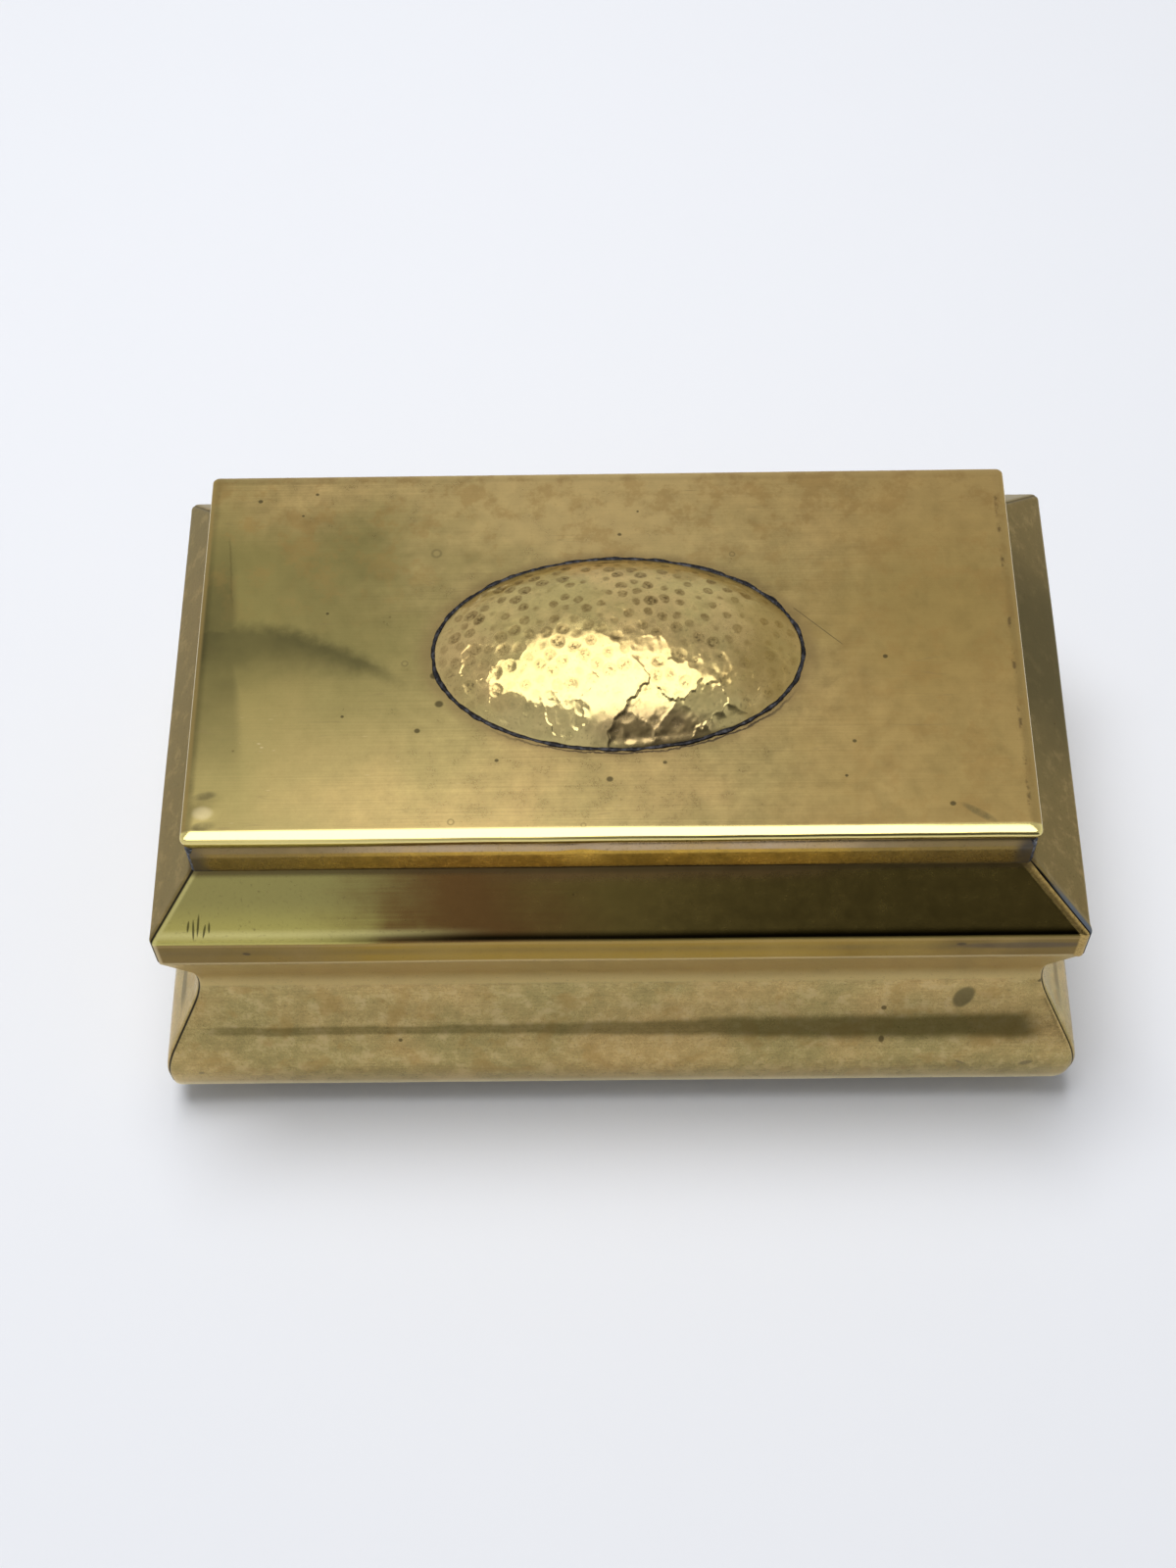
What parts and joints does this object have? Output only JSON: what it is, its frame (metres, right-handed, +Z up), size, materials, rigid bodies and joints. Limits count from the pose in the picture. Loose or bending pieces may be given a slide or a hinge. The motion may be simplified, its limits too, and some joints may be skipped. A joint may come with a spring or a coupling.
{
  "type": "stamp box",
  "caption": "Brass stamp box with a sloping shoulder, coved sides and flared foot, a hinged lid with a hammered oval boss, and a cedar lining with scooped stamp compartments.",
  "frame": {"origin": "middle of the baize's underside, the face that the box rests on", "axes": "+X to the right seen from the front, +Y to the back where the hinge is, +Z up"},
  "size_m": [0.1186, 0.0712, 0.061],
  "materials": {
    "case_brass": "aged and tarnished sheet brass, satin, brown-gold",
    "neck_brass": "aged sheet brass, brown-gold, edges rubbed pinkish",
    "solder": "dull blue-grey soft solder, irregular",
    "hinge_brass": "plain brass rod and tube, satin",
    "base_brass": "mill-finish sheet, out of sight",
    "base_wood": "dark stained hardwood, oiled",
    "baize": "felted green wool baize",
    "cedar": "planed cedar, unvarnished",
    "lid_brass": "aged brass, finely brushed left to right, cloudy tarnish",
    "boss_brass": "hand-hammered brass, small dimples, softly polished"
  },
  "bodies": {
    "case": {"front_panel": "case_brass", "back_panel": "case_brass", "left_panel": "case_brass", "right_panel": "case_brass", "neck_front": "neck_brass", "neck_back": "neck_brass", "neck_left": "neck_brass", "neck_right": "neck_brass", "corner_solder": "solder", "base_plate": "base_brass", "base_board": "base_wood", "baize_pad": "baize", "base_screws": "hinge_brass", "cedar_floor": "cedar", "cedar_front": "cedar", "cedar_back": "cedar", "cedar_left": "cedar", "cedar_right": "cedar", "divider_left": "cedar", "divider_right": "cedar", "scoop_left": "cedar", "scoop_middle": "cedar", "scoop_right": "cedar", "case_knuckles": "hinge_brass", "hinge_pin": "hinge_brass"},
    "lid": {"lid_plate": "lid_brass", "lid_knuckles": "hinge_brass", "hammered_boss": "boss_brass", "boss_solder": "solder"}
  },
  "joints": [
    {"name": "lid_hinge", "type": "hinge", "parent": "case", "child": "lid", "pos_m": [-0.0009, 0.0259, 0.0526], "axis": [-1, 0, 0], "range_deg": [0, 105]}
  ]
}
